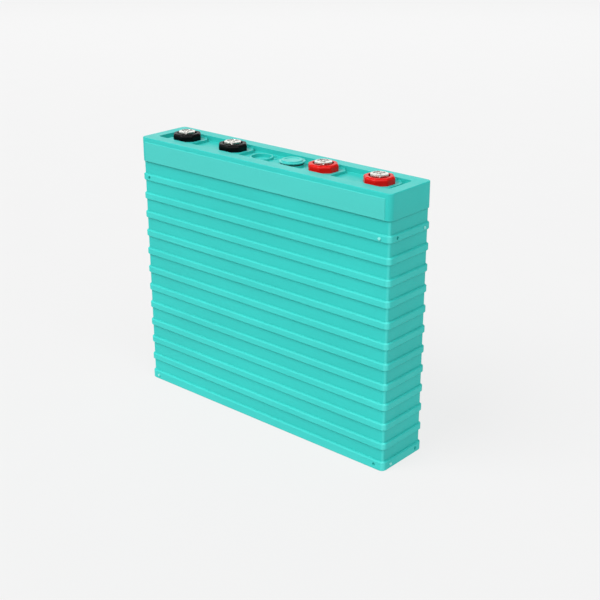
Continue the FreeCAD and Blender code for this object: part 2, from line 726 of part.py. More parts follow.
def make_vent_gasket():
    body = new_body("vent_gasket")
    low = d.vent_boss_level
    high = low + d.vent_gasket_thick
    inner = d.vent_thread + d.loose_gap
    outer = d.vent_gasket_outer
    soft = d.seal_edge
    turn(body, [
        (inner + soft, low), (outer - soft, low), (outer, low + soft), (outer, high - soft),
        (outer - soft, high), (inner + soft, high), (inner, high - soft), (inner, low + soft),
    ])
    place(body, d.port_offset)


def make_vent_seat():
    """Ring pressed into the cap's stem; its raised lip meets the valve's rubber face."""
    body = new_body("vent_seat")
    outer = d.cap_chamber - d.vent_seat_gap
    turn(body, [
        (d.vent_orifice, d.cap_low), (outer, d.cap_low), (outer, vent_seat_top),
        (d.vent_orifice + d.seat_lip_foot, vent_seat_top),
        (d.vent_orifice + d.seat_lip_crest, valve_low),
        (d.vent_orifice, valve_low),
    ])
    place(body, d.port_offset)


def make_valve_pad():
    body = new_body("valve_pad")
    turn(body, [
        (0, valve_low), (d.valve_pad_radius, valve_low),
        (d.valve_pad_radius, valve_pad_top), (0, valve_pad_top),
    ])
    place(body, d.port_offset)


def make_valve_disc():
    """Relief valve's disc with a stub that centres the spring."""
    body = new_body("valve_disc")
    stub_top = valve_top + d.valve_stub_height
    turn(body, [
        (0, valve_pad_top), (d.valve_radius, valve_pad_top), (d.valve_radius, valve_top),
        (d.valve_stub, valve_top), (d.valve_stub, stub_top - d.stub_edge),
        (d.valve_stub - d.stub_edge, stub_top), (0, stub_top),
    ])
    place(body, d.port_offset)


def make_valve_spring():
    """Coil spring between the valve's disc and the roof of the cap."""
    low = valve_top + d.spring_wire
    high = d.cap_flange_low - d.spring_wire
    coil = doc.addObject("Part::Helix", "spring_path")
    bind(coil, "Radius", d.spring_radius)
    bind(coil, "Height", high - low)
    bind(coil, "Pitch", (high - low) / d.spring_turns)
    wire = doc.addObject("Part::Circle", "spring_section")
    bind(wire, "Radius", d.spring_wire)
    wire.Placement.Rotation = FreeCAD.Rotation(Vector(1, 0, 0), 90)
    bind(wire, "Placement.Base.x", d.spring_radius)
    spring = doc.addObject("Part::Sweep", "valve_spring")
    spring.Label = "valve_spring"
    spring.Sections = [wire]
    spring.Spine = (coil, [])
    spring.Solid = True
    spring.Frenet = True
    place(spring, d.port_offset, 0, low)
    nodes.append(spring)


# ---------------------------------------------------------------- inside the case
def box(name, low, high):
    """A Part box between two corners, bound to the sheet."""
    item = doc.addObject("Part::Box", name)
    for prop, axis, start, end in zip(("Length", "Width", "Height"), "xyz", low, high):
        bind(item, prop, size(end) - start)
        bind(item, f"Placement.Base.{axis}", start)
    return item


def cylinder(name, middle, radius, height, along="Z"):
    item = doc.addObject("Part::Cylinder", name)
    bind(item, "Radius", radius)
    bind(item, "Height", height)
    if along == "Y":
        item.Placement.Rotation = FreeCAD.Rotation(Vector(1, 0, 0), -90)
    place(item, *middle)
    return item


def keep(item, label):
    item.Label = label
    nodes.append(item)
    return item


def group(label, items):
    """Several separate solids in one node."""
    bunch = doc.addObject("Part::Compound", label)
    bunch.Links = items
    return keep(bunch, label)


def cut(label, base, tools):
    """A base with several tools taken away."""
    item = base
    for index, tool in enumerate(tools):
        step = doc.addObject("Part::Cut", f"{label}_cut{index}")
        step.Base = item
        step.Tool = tool
        item = step
    return item


def centred_box(name, half_x, half_y, low, high):
    return box(name, (-half_x, -half_y, low), (half_x, half_y, high))


def make_tray():
    """Shallow insulating tray that the stack stands in."""
    top = d.floor_thickness + d.tray_height
    outer = centred_box("tray_block", d.tray_half_length, d.tray_half_depth, d.floor_thickness, top)
    inner = centred_box(
        "tray_hollow", d.tray_half_length - d.tray_wall, d.tray_half_depth - d.tray_wall,
        tray_top_of_floor, top + d.join_overlap,
    )
    keep(cut("bottom_tray", outer, [inner]), "bottom_tray")


def make_wrap():
    """Thin film sleeve round the stack."""
    inner_x = d.stack_half_length + d.electrode_step
    inner_y = stack_half_depth + d.loose_gap
    outer = centred_box(
        "wrap_block", inner_x + d.wrap_thick, inner_y + d.wrap_thick,
        tray_top_of_floor + d.loose_gap, d.wrap_top,
    )
    inner = centred_box("wrap_hollow", inner_x, inner_y, tray_top_of_floor, d.wrap_top + d.join_overlap)
    keep(cut("stack_wrap", outer, [inner]), "stack_wrap")


def make_end_spacers():
    start = d.stack_half_length + d.electrode_step + d.wrap_thick + d.loose_gap
    for side, name in ((-1, "end_spacer_negative"), (1, "end_spacer_positive")):
        body = new_body(name)
        plate = sketch_on(body, "XY_Plane", tray_top_of_floor)
        half = d.tray_half_depth - d.tray_wall - d.end_spacer_gap
        draw_polygon(plate, [
            (start, -half), (start + d.end_spacer_thick, -half),
            (start + d.end_spacer_thick, half), (start, half),
        ])
        pad(body, plate, d.wrap_top - tray_top_of_floor)
        windows = sketch_on(body, "YZ_Plane", start + d.end_spacer_thick)
        window_half = half - d.window_margin
        pitch = (d.wrap_top - tray_top_of_floor) / d.window_count
        for step in range(int(d.window_count.number)):
            low = tray_top_of_floor + pitch * step + d.window_bar / 2
            high = low + pitch - d.window_bar
            draw_polygon(windows, [
                (-window_half, low), (window_half, low), (window_half, high), (-window_half, high),
            ])
        pocket(body, windows, d.end_spacer_thick - d.end_spacer_web)
        if side < 0:
            body.Placement.Rotation = FreeCAD.Rotation(Vector(0, 0, 1), 180)


def make_top_spacer():
    """Plate over the stack with a slot for each bundle of tabs."""
    plate = centred_box(
        "top_spacer_plate", d.stack_half_length + d.top_spacer_reach,
        cavity_half_depth - d.cavity_gap, top_spacer_low, top_spacer_high,
    )
    slot_half = stack_half_depth - d.slot_gap
    slots = [
        box(f"tab_slot_{name}", (low, -slot_half, top_spacer_low - d.join_overlap),
            (high, slot_half, top_spacer_high + d.join_overlap))
        for name, low, high in (
            ("positive", d.slot_low, d.slot_high), ("negative", -d.slot_high, -d.slot_low),
        )
    ]
    keep(cut("top_spacer", plate, slots), "top_spacer")


def make_divider():
    """Upright plastic wall between the two polarities' tabs."""
    wall = centred_box(
        "polarity_divider", d.divider_thick / 2, cavity_half_depth - d.cavity_gap,
        top_spacer_high, d.weld_level,
    )
    keep(wall, "polarity_divider")


def make_stack():
    """Coated plates with separator sheets between them, faces along Y."""
    cathodes, anodes, separators = [], [], []
    first = -stack_half_depth
    half = d.stack_half_length
    step = d.electrode_step
    for index in range(int(anode_count.number)):
        low = first + electrode_pitch * index
        high = low + d.anode_thick
        anodes.append(box(f"anode_{index}", (step / 2 - half, low, d.stack_low), (half - step / 2, high, d.anode_top)))
        if index == int(d.cathode_count.number):
            break
        cathode_low = high + d.separator_thick
        cathode_high = cathode_low + d.cathode_thick
        cathodes.append(box(
            f"cathode_{index}", (step - half, cathode_low, d.stack_low + step),
            (half - step, cathode_high, d.cathode_top),
        ))
        for sheet_low, name in ((high, "front"), (cathode_high, "back")):
            separators.append(box(
                f"separator_{index}_{name}", (-half, sheet_low, d.stack_low - d.separator_overhang),
                (half, sheet_low + d.separator_thick, d.separator_top),
            ))
    group("cathode_plates", cathodes)
    group("anode_plates", anodes)
    group("separators", separators)


def foil_outline(root, pack, root_level, bend_level):
    """A foil's centre line, up from its plate and over into the clamped pack."""
    return [
        Vector(0, root, root_level), Vector(0, root, d.foil_rise.number),
        Vector(0, pack, bend_level), Vector(0, pack, d.foil_top.number),
    ]


def thick_strip(line, thickness, start, width):
    """The line given a thickness, mitred at its bends, and stretched along X."""
    left, right = [], []
    for index, point in enumerate(line):
        before = (point - line[index - 1]).normalize() if index else None
        after = (line[index + 1] - point).normalize() if index + 1 < len(line) else None
        way = (before or after) + (after or before)
        way.normalize()
        lean = way.dot(after or before)
        side = Vector(0, way.z, -way.y) * (thickness / 2 / lean)
        left.append(point - side)
        right.append(point + side)
    corners = left + right[::-1]
    face = Part.Face(Part.makePolygon(corners + corners[:1]))
    face.translate(Vector(start, 0, 0))
    return face.extrude(Vector(width, 0, 0))


def make_tab_foils(label, side, count, root_level):
    """Bare foil tabs of every plate of one polarity, gathered beside the collector's blade."""
    foils = []
    middle = (count - 1) / 2
    width = (d.foil_end - d.foil_start).number
    start = d.foil_start.number if side > 0 else -d.foil_end.number
    for index in range(count):
        offset = index - middle
        bend = d.foil_gather.number + d.foil_gather_step.number * abs(offset)
        line = foil_outline(
            offset * electrode_pitch.number, offset * d.foil_pitch.number, root_level.number, bend,
        )
        foils.append(thick_strip(line, d.foil_thick.number, start, width))
    item = doc.addObject("Part::Feature", label)
    item.Shape = Part.makeCompound(foils)
    item.Placement = FreeCAD.Placement()
    keep(item, label)


def make_collector(label, side):
    """Bar that joins a polarity's two posts, with a blade that its tabs are clamped to."""
    body = new_body(label)
    plate = sketch_on(body, "XY_Plane", d.collector_low)
    half = d.collector_half
    draw_polygon(plate, [
        (d.collector_start, -half), (d.collector_end, -half), (d.collector_end, half), (d.collector_start, half),
    ])
    pad(body, plate, d.collector_thick)
    blade_front = foil_pack_half + d.fit_clearance
    blade_high = d.collector_low - d.blade_drop
    for start, end, low, high in (
        (d.blade_neck_start, d.blade_neck_end, blade_high - d.join_overlap, d.collector_low + d.join_overlap),
        (d.blade_start, d.blade_end, d.blade_low, blade_high),
    ):
        blade = sketch_on(body, "XY_Plane", low)
        draw_polygon(blade, [
            (start, blade_front), (end, blade_front),
            (end, blade_front + d.blade_thick), (start, blade_front + d.blade_thick),
        ])
        pad(body, blade, high - low)
    holes = sketch_on(body, "XY_Plane", d.collector_low + d.collector_thick)
    for x in (d.inner_terminal, d.outer_terminal):
        draw_circle(holes, x, 0, d.post_peg + d.fit_clearance)
    pocket(body, holes, d.collector_thick)
    rivets = sketch_on(body, "XZ_Plane")
    for x in rivet_places():
        draw_circle(rivets, x, rivet_level(), d.rivet_radius + d.fit_clearance)
    pocket(body, rivets, d.collector_half)
    if side < 0:
        mirror_to_negative(body)


def mirror_to_negative(body):
    """Slide a positive-side body to the same place on the negative side."""
    bind(body, "Placement.Base.x", -(d.inner_terminal + d.outer_terminal))


def rivet_places():
    return d.blade_start + d.rivet_inset, d.blade_end - d.rivet_inset


def rivet_level():
    return (d.blade_low + d.collector_low - d.blade_drop) / 2


def make_clamp(label, side):
    """Plate that presses the gathered foils on to the blade."""
    body = new_body(label)
    outline = sketch_on(body, "XY_Plane", d.blade_low)
    back = -(foil_pack_half + d.fit_clearance)
    draw_polygon(outline, [
        (d.blade_start, back - d.clamp_thick), (d.blade_end, back - d.clamp_thick),
        (d.blade_end, back), (d.blade_start, back),
    ])
    pad(body, outline, d.collector_low - d.blade_drop - d.blade_low)
    rivets = sketch_on(body, "XZ_Plane")
    for x in rivet_places():
        draw_circle(rivets, x, rivet_level(), d.rivet_radius + d.fit_clearance)
    pocket(body, rivets, d.collector_half, reverse=True)
    if side < 0:
        mirror_to_negative(body)


def make_clamp_rivets(label, side):
    """Headed rivets through clamp and blade, outside the foils' width."""
    front = -(foil_pack_half + d.fit_clearance + d.clamp_thick)
    back = foil_pack_half + d.fit_clearance + d.blade_thick
    rivets = []
    for number, x in enumerate(rivet_places()):
        centre = x if side > 0 else x - (d.inner_terminal + d.outer_terminal)
        pieces = [
            cylinder(f"{label}_shank{number}", (centre, front, rivet_level()), d.rivet_radius, back - front, "Y"),
            cylinder(
                f"{label}_front{number}", (centre, front - d.rivet_head_thick, rivet_level()),
                d.rivet_head, d.rivet_head_thick, "Y",
            ),
            cylinder(f"{label}_back{number}", (centre, back, rivet_level()), d.rivet_head, d.rivet_head_thick, "Y"),
        ]
        rivet = doc.addObject("Part::MultiFuse", f"{label}_{number}")
        rivet.Shapes = pieces
        rivets.append(rivet)
    group(label, rivets)


# ---------------------------------------------------------------- the whole cell
make_case_shell()
make_lid()
for pattern, along in terminals():
    make_nut(pattern.format("nut"), along)
    make_post(pattern.format("post"), along)
    make_post_seal(pattern.format("seal"), along)
    make_flat_washer(pattern.format("washer"), along)
    make_spring_washer(pattern.format("spring_washer"), along)
    make_screw(pattern.format("screw"), along)
make_fill_seal()
make_fill_plug()
make_vent_gasket()
make_vent_cap()
make_vent_seat()
make_valve_pad()
make_valve_disc()
make_valve_spring()
make_tray()
make_wrap()
make_end_spacers()
make_top_spacer()
make_divider()
make_stack()
make_tab_foils("positive_tab_foils", 1, int(d.cathode_count.number), d.cathode_top)
make_tab_foils("negative_tab_foils", -1, int(anode_count.number), d.anode_top)
for polarity, side in (("positive", 1), ("negative", -1)):
    make_collector(f"{polarity}_collector", side)
    make_clamp(f"{polarity}_clamp", side)
    make_clamp_rivets(f"{polarity}_rivets", side)

doc.recompute()
for item in doc.Objects:
    if "Invalid" in item.State or "Error" in item.State:
        raise RuntimeError(f"{item.Label} failed: {item.State}")
for node in nodes:
    if node.Shape.isNull() or not node.Shape.isValid():
        raise RuntimeError(f"{node.Label} has no valid shape")

os.makedirs("parts", exist_ok=True)
for node in nodes:
    node.Shape.exportStep(f"parts/{node.Label}.step")
print(len(nodes), "nodes written")
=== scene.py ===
"""Looks of the prismatic battery cell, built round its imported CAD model.

Metres, in the row frame: +X runs along the cell towards the positive terminals,
-Y is the front, and the floor is at z = 0.
"""
import math

import bmesh
import bpy
from mathutils import Matrix, Vector


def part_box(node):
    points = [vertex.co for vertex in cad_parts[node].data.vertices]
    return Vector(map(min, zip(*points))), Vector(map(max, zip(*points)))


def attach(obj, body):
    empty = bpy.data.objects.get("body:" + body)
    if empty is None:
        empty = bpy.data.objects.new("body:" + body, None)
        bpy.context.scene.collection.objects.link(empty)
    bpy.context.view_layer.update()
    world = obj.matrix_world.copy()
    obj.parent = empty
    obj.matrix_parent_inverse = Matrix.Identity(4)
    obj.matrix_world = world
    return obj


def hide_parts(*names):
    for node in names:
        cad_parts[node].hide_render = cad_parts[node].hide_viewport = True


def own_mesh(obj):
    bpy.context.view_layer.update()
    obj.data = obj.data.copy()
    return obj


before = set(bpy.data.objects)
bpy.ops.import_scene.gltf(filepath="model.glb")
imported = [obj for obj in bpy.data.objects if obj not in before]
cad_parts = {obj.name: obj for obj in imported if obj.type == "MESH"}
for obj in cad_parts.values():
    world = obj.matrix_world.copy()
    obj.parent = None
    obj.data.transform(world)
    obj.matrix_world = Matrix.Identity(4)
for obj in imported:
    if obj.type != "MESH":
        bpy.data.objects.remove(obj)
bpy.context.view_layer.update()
MM = 0.001

# camera
CAMERA_PLACE = (0.5724, -0.6291, 0.43735)
CAMERA_TARGET = (0.01548, 0.00946, 0.09984)
CAMERA_LENS = 68.43

# threads of the screws and of the vent cap
SCREW_PITCH = 1.25 * MM
SCREW_THREAD_DEPTH = 0.75 * MM
SCREW_RADIUS = 4.0 * MM
CAP_PITCH = 1.5 * MM
CAP_THREAD_DEPTH = 0.7 * MM
CAP_LOBES = 24

# coil spring of the relief valve
SPRING_RADIUS = 3.0 * MM
SPRING_WIRE = 0.25 * MM
SPRING_TURNS = 4.5

# steps round a full turn, or along a split washer or a coil
DOME_STEPS = 96
SHANK_STEPS = 48
PORT_STEPS = 20
CAP_STEPS = 8 * CAP_LOBES
WASHER_STEPS = 90
COIL_STEPS = 180
COIL_SIDES = 12

# shading of edges
SHARP_ANGLE = math.radians(32)
BEVEL_SAMPLES = 6

# half the length and half the depth over the case's ribs, and how far the ribs stand out
RIB_SIDE = 128.0 * MM
RIB_END = 25.0 * MM
RIB_DEPTH = 1.5 * MM

TERMINALS = ("negative_{}_outer", "negative_{}_inner", "positive_{}_inner", "positive_{}_outer")


def linear(red, green, blue):
    """A colour given in the usual 0 to 255 steps, as the linear values that shaders take."""
    def straighten(step):
        share = step / 255
        return share / 12.92 if share <= 0.04045 else ((share + 0.055) / 1.055) ** 2.4
    return tuple(straighten(step) for step in (red, green, blue))


# ---------------------------------------------------------------- materials
class Finish:
    """A node material built up in layers, with sizes in metres in the piece's own coordinates."""

    def __init__(self, name, colour, roughness, **sockets):
        self.material = bpy.data.materials.new(name)
        self.material.use_nodes = True
        self.tree = self.material.node_tree
        self.shader = self.tree.nodes["Principled BSDF"]
        self.shader.inputs["Base Color"].default_value = (*colour, 1.0)
        self.shader.inputs["Roughness"].default_value = roughness
        for socket, value in sockets.items():
            self.shader.inputs[socket.replace("_", " ")].default_value = value
        self.place = self.add("ShaderNodeTexCoord").outputs["Object"]
        self.colour = (*colour, 1.0)
        self.roughness = roughness
        self.normal = None

    def add(self, kind, inputs=None, **settings):
        """A node, whose inputs are values or the outputs of other nodes."""
        node = self.tree.nodes.new(kind)
        for name, value in settings.items():
            setattr(node, name, value)
        for name, value in (inputs or {}).items():
            self.feed(node.inputs[name], value)
        return node

    def feed(self, socket, value):
        if isinstance(value, bpy.types.NodeSocket):
            self.tree.links.new(value, socket)
        else:
            socket.default_value = value

    def math(self, operation, *values):
        inputs = dict(enumerate(values))
        return self.add("ShaderNodeMath", inputs, operation=operation).outputs[0]

    def remap(self, value, low, high, start=0.0, end=1.0):
        """The value stretched from low..high to start..end, and held within it."""
        inputs = {"Value": value, "From Min": low, "From Max": high, "To Min": start, "To Max": end}
        return self.add("ShaderNodeMapRange", inputs).outputs[0]

    def clouds(self, grain, detail=2.0, stretch=(1.0, 1.0, 1.0)):
        """Soft random values round 0.5, in patches of about the grain's size."""
        place = self.add("ShaderNodeMapping", {"Vector": self.place, "Scale": stretch}).outputs[0]
        inputs = {"Vector": place, "Scale": 1 / grain, "Detail": detail}
        return self.add("ShaderNodeTexNoise", inputs).outputs[0]

    def cell_borders(self, grain):
        """Distance from the borders between random cells, in grains."""
        inputs = {"Vector": self.place, "Scale": 1 / grain}
        cells = self.add("ShaderNodeTexVoronoi", inputs, feature="DISTANCE_TO_EDGE")
        return cells.outputs["Distance"]

    def from_middle(self):
        """How far the point is from the middle planes x = 0 and y = 0."""
        split = self.add("ShaderNodeSeparateXYZ", {"Vector": self.place}).outputs
        return self.math("ABSOLUTE", split["X"]), self.math("ABSOLUTE", split["Y"])

    def edges(self, width):
        """1 on edges that are sharper than the width, and 0 on flat faces."""
        inputs = {"Radius": width}
        soft = self.add("ShaderNodeBevel", inputs, samples=BEVEL_SAMPLES).outputs["Normal"]
        plain = self.add("ShaderNodeNewGeometry").outputs["Normal"]
        same = self.add("ShaderNodeVectorMath", {0: soft, 1: plain}, operation="DOT_PRODUCT")
        return self.remap(same.outputs["Value"], 0.99, 0.86)

    def tint(self, mask, colour, strength=1.0):
        """Moves the colour towards another one where the mask is 1, as far as the strength says."""
        share = mask if strength == 1.0 else self.math("MULTIPLY", mask, strength)
        # inputs 6 and 7 and output 2 are the mix node's sockets for colours
        inputs = {0: share, 6: self.colour, 7: (*colour, 1.0)}
        self.colour = self.add("ShaderNodeMix", inputs, data_type="RGBA").outputs[2]

    def dull(self, mask, amount):
        """Adds to the roughness where the mask is 1."""
        share = self.math("MULTIPLY", mask, amount)
        self.roughness = self.math("ADD", self.roughness, share)

    def round_edges(self, radius):
        inputs = {"Radius": radius}
        self.normal = self.add("ShaderNodeBevel", inputs, samples=BEVEL_SAMPLES).outputs["Normal"]

    def relief(self, height, depth):
        """Raises the surface by depth where the height is 1."""
        inputs = {"Height": height, "Distance": depth, "Strength": 1.0}
        if self.normal is not None:
            inputs["Normal"] = self.normal
        self.normal = self.add("ShaderNodeBump", inputs).outputs["Normal"]

    def done(self):
        self.feed(self.shader.inputs["Base Color"], self.colour)
        self.feed(self.shader.inputs["Roughness"], self.roughness)
        if self.normal is not None:
            self.feed(self.shader.inputs["Normal"], self.normal)
        return self.material


def shade(colour, share):
    """The colour made darker, or lighter where the share is above 1."""
    return tuple(min(1.0, part * share) for part in colour)


CASE_COLOUR = linear(50, 193, 185)
PALE_TEAL = linear(92, 222, 214)
# painted highlight colour for the pins on the case
PIN_HIGHLIGHT = linear(168, 238, 232)


def moulded(name, colour, roughness, grain_depth=0.012 * MM, wave_depth=0.05 * MM, **sockets):
    """Injection-moulded plastic: cloudy colour, faint waviness, fine grain and dull smears."""
    finish = Finish(name, colour, roughness, **sockets)
    finish.round_edges(0.25 * MM)
    flow = finish.remap(finish.clouds(55 * MM, 3.0, (0.5, 1.0, 1.6)), 0.35, 0.65)
    finish.tint(flow, shade(colour, 0.86), 0.5)
    speck = finish.remap(finish.clouds(0.9 * MM, 2.0), 0.45, 0.75)
    finish.tint(speck, shade(colour, 1.25), 0.10)
    finish.relief(finish.clouds(38 * MM, 1.0), wave_depth)
    finish.relief(finish.clouds(0.35 * MM, 3.0), grain_depth)
    smears = finish.remap(finish.clouds(24 * MM, 4.0, (0.6, 1.0, 1.0)), 0.4, 0.7)
    finish.dull(smears, 0.10)
    return finish


def add_scuffs(finish, pale, strength):
    """Fine scratches along the piece, which are paler and duller than the surface."""
    along = finish.remap(finish.clouds(2.2 * MM, 2.0, (0.03, 1.0, 1.0)), 0.69, 0.76)
    across = finish.remap(finish.clouds(1.9 * MM, 2.0, (1.0, 1.0, 0.05)), 0.72, 0.78)
    where = finish.remap(finish.clouds(45 * MM, 2.0), 0.5, 0.65)
    scratch = finish.math("MULTIPLY", finish.math("MAXIMUM", along, across), where)
    finish.tint(scratch, pale, strength)
    finish.dull(scratch, 0.12)


def add_edge_wear(finish, pale, strength):
    """Edges rubbed paler, unevenly."""
    patchy = finish.remap(finish.clouds(6 * MM, 3.0), 0.35, 0.65, 0.35, 1.0)
    worn = finish.math("MULTIPLY", finish.edges(0.45 * MM), patchy)
    finish.tint(worn, pale, strength)


def case_plastic():
    """Turquoise case: satin walls, ribs duller and painted paler, partly as rubbing and partly as
    painted light in place of the shade on the sunk walls between them, painted highlights on the wall
    corners and the pins.
    """
    finish = moulded("case_plastic", CASE_COLOUR, 0.36, Specular_IOR_Level=0.14)
    wall_side = RIB_SIDE - RIB_DEPTH + 0.5 * MM
    wall_end = RIB_END - RIB_DEPTH + 0.5 * MM
    side, end = finish.from_middle()
    beyond_side = finish.remap(side, wall_side, wall_side + 0.8 * MM)
    beyond_end = finish.remap(end, wall_end, wall_end + 0.8 * MM)
    proud = finish.math("MAXIMUM", beyond_side, beyond_end)
    # painted light: the ribs are made paler than the sunk walls, in place of the shade on the walls;
    # the uneven patches stand for rubbing
    rub_and_light_patches = finish.remap(finish.clouds(14 * MM, 3.0, (0.4, 1.0, 1.0)), 0.3, 0.7, 0.5, 1.0)
    finish.tint(finish.math("MULTIPLY", proud, rub_and_light_patches), PALE_TEAL, 0.22)
    finish.dull(proud, 0.08)
    # painted highlight: a pale line down the rounded corners of the walls between the ribs
    beside = finish.remap(side, wall_side - 2.4 * MM, wall_side - 1.0 * MM)
    at_end = finish.remap(end, wall_end - 2.4 * MM, wall_end - 1.0 * MM)
    finish.tint(finish.math("MULTIPLY", beside, at_end), PALE_TEAL, 0.60)
    # painted highlight on the pins that stand out beyond the ribs
    pin_side = finish.remap(side, RIB_SIDE + 0.05 * MM, RIB_SIDE + 0.2 * MM)
    pin_end = finish.remap(end, RIB_END + 0.05 * MM, RIB_END + 0.2 * MM)
    finish.tint(finish.math("MAXIMUM", pin_side, pin_end), PIN_HIGHLIGHT, 0.6)
    add_scuffs(finish, PALE_TEAL, 0.35)
    add_edge_wear(finish, PALE_TEAL, 0.55)
    return finish.done()


def lid_plastic():
    """Turquoise lid with spark-eroded grain on the raised panels of its long faces."""
    finish = moulded("lid_plastic", CASE_COLOUR, 0.36, Specular_IOR_Level=0.16)
    end = finish.from_middle()[1]
    panel = finish.remap(end, RIB_END - 0.4 * MM, RIB_END - 0.1 * MM)
    grain = finish.clouds(0.45 * MM, 2.0)
    finish.relief(finish.math("MULTIPLY", grain, panel), 0.05 * MM)
    finish.tint(panel, linear(140, 216, 208), 0.14)
    finish.dull(panel, 0.16)
    add_scuffs(finish, PALE_TEAL, 0.30)
    add_edge_wear(finish, PALE_TEAL, 0.55)
    return finish.done()


def cap_plastic():
    finish = moulded("cap_plastic", linear(50, 194, 186), 0.30, 0.008 * MM, 0.02 * MM)
    add_edge_wear(finish, PALE_TEAL, 0.5)
    return finish.done()


def nut_plastic(name, colour, pale, roughness, specular):
    """Glass-filled nylon: fine streaks in the surface, and rubbed edges."""
    finish = moulded(name, colour, roughness, 0.010 * MM, 0.02 * MM, Specular_IOR_Level=specular)
    add_scuffs(finish, pale, 0.2)
    add_edge_wear(finish, pale, 0.16)
    return finish.done()


def metal(name, colour, roughness, stretch=(1.0, 1.0, 1.0)):
    """Bare or plated metal: uneven brightness, tool marks and small stains."""
    finish = Finish(name, colour, roughness, Metallic=1.0)
    finish.round_edges(0.12 * MM)
    finish.tint(finish.remap(finish.clouds(3.5 * MM, 3.0), 0.4, 0.7, 0.0, 0.45), shade(colour, 0.72))
    finish.dull(finish.remap(finish.clouds(1.4 * MM, 3.0), 0.4, 0.7), 0.16)
    finish.relief(finish.clouds(0.5 * MM, 3.0, stretch), 0.004 * MM)
    return finish.done()


def rubber():
    finish = Finish("seal_rubber", linear(34, 34, 36), 0.62)
    finish.tint(finish.remap(finish.clouds(2.5 * MM, 3.0), 0.45, 0.7, 0.0, 0.6), linear(58, 58, 60))
    finish.relief(finish.clouds(0.25 * MM, 3.0), 0.02 * MM)
    finish.dull(finish.remap(finish.clouds(4 * MM), 0.4, 0.6), 0.15)
    return finish.done()


def inner_plastic():
    finish = moulded("inner_plastic", linear(214, 214, 206), 0.45, 0.01 * MM, 0.03 * MM)
    add_edge_wear(finish, linear(236, 236, 230), 0.4)
    return finish.done()


def film(name, colour, roughness, sheen_colour):
    """Thin plastic film, slightly creased."""
    finish = Finish(name, colour, roughness)
    finish.tint(finish.remap(finish.clouds(9 * MM, 4.0), 0.4, 0.65, 0.0, 0.5), sheen_colour)
    creases = finish.remap(finish.cell_borders(22 * MM), 0.0, 0.08, 1.0, 0.0)
    finish.relief(creases, 0.06 * MM)
    finish.relief(finish.clouds(3 * MM, 3.0), 0.03 * MM)
    return finish.done()


def coating(name, colour, pale, bar):
    """Electrode paste dried on foil: matt, powdery, with faint marks from the coating bar."""
    finish = Finish(name, colour, 0.82)
    finish.tint(finish.remap(finish.clouds(0.5 * MM, 4.0), 0.4, 0.7, 0.0, 0.7), pale)
    streaks = finish.clouds(bar, 3.0, (1.0, 1.0, 0.04))
    finish.tint(finish.remap(streaks, 0.4, 0.7, 0.0, 0.35), shade(colour, 0.6))
    finish.relief(finish.clouds(0.2 * MM, 4.0), 0.02 * MM)
    finish.dull(finish.remap(streaks, 0.3, 0.7), 0.1)
    return finish.done()


def make_materials():
    """One material for each slot of the record."""
    steel = linear(222, 220, 214)
    silver = linear(216, 218, 220)
    return {
        "case_plastic": case_plastic(),
        "lid_plastic": lid_plastic(),
        "cap_plastic": cap_plastic(),
        "red_nut": nut_plastic("red_nut", linear(216, 14, 8), linear(230, 60, 46), 0.28, 0.2),
        "black_nut": nut_plastic("black_nut", linear(6, 6, 7), linear(40, 40, 42), 0.30, 0.12),
        "bright_steel": metal("bright_steel", steel, 0.20),
        "post_aluminium": metal("post_aluminium", silver, 0.30, (1.0, 1.0, 4.0)),
        "post_plated_copper": metal("post_plated_copper", silver, 0.26, (1.0, 1.0, 4.0)),
        "aluminium": metal("aluminium", silver, 0.34, (0.1, 1.0, 1.0)),
        "copper": metal("copper", linear(200, 122, 84), 0.32, (0.1, 1.0, 1.0)),
        "seal_rubber": rubber(),
        "inner_plastic": inner_plastic(),
        "wrap_film": film("wrap_film", linear(60, 92, 150), 0.28, linear(84, 118, 172)),
        "separator_film": film("separator_film", linear(232, 232, 228), 0.5, linear(244, 244, 242)),
        "cathode_coating": coating("cathode_coating", linear(44, 44, 48), linear(66, 66, 70), 7 * MM),
        "anode_coating": coating("anode_coating", linear(30, 30, 31), linear(50, 50, 52), 9 * MM),
    }


def finish_nodes(materials):
    """Every CAD node's slot gets the full material of the same name."""
    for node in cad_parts.values():
        for place in node.material_slots:
            place.material = materials[place.material.name.split(".")[0]]


# ---------------------------------------------------------------- turned and threaded pieces
def held(value):
    """The value, kept within 0 and 1."""
    return min(1.0, max(0.0, value))


def turned(profile, steps, shape=None):
    """Points and faces of a solid turned from (radius, height) points.

    The first and the last point are on the axis. A shape changes the radius of the others.
    """
    points = [(0.0, 0.0, profile[0][1])]
    for radius, height in profile[1:-1]:
        for step in range(steps):
            angle = step * math.tau / steps
            reach = shape(radius, height, angle) if shape else radius
            points.append((reach * math.cos(angle), reach * math.sin(angle), height))
    points.append((0.0, 0.0, profile[-1][1]))
    last_ring = 1 + (len(profile) - 3) * steps
    faces = []
    for step in range(steps):
        after = (step + 1) % steps
        faces.append((0, 1 + after, 1 + step))
        for start in range(1, last_ring, steps):
            over = start + steps
            faces.append((start + step, start + after, over + after, over + step))
        faces.append((last_ring + step, last_ring + after, len(points) - 1))
    return points, faces


def swept_faces(steps, count):
    """Faces of a solid through steps + 1 outlines of count points each, closed at both ends."""
    last = steps * count
    faces = [tuple(range(count)), tuple(range(last + count - 1, last - 1, -1))]
    for here in range(0, last, count):
        for index in range(count):
            after = (index + 1) % count
            faces.append((here + index, here + after, here + count + after, here + count + index))
    return faces


def placed(name, data):
    """An object in the scene that shows a mesh, or holds a light or a camera."""
    item = bpy.data.objects.new(name, data)
    bpy.context.scene.collection.objects.link(item)
    return item


def solid(name, points, faces):
    """An object from points and faces, with its faces turned outwards."""
    mesh = bpy.data.meshes.new(name)
    mesh.from_pydata(points, [], faces)
    shape = bmesh.new()
    shape.from_mesh(mesh)
    bmesh.ops.recalc_face_normals(shape, faces=shape.faces)
    shape.to_mesh(mesh)
    shape.free()
    return placed(name, mesh)


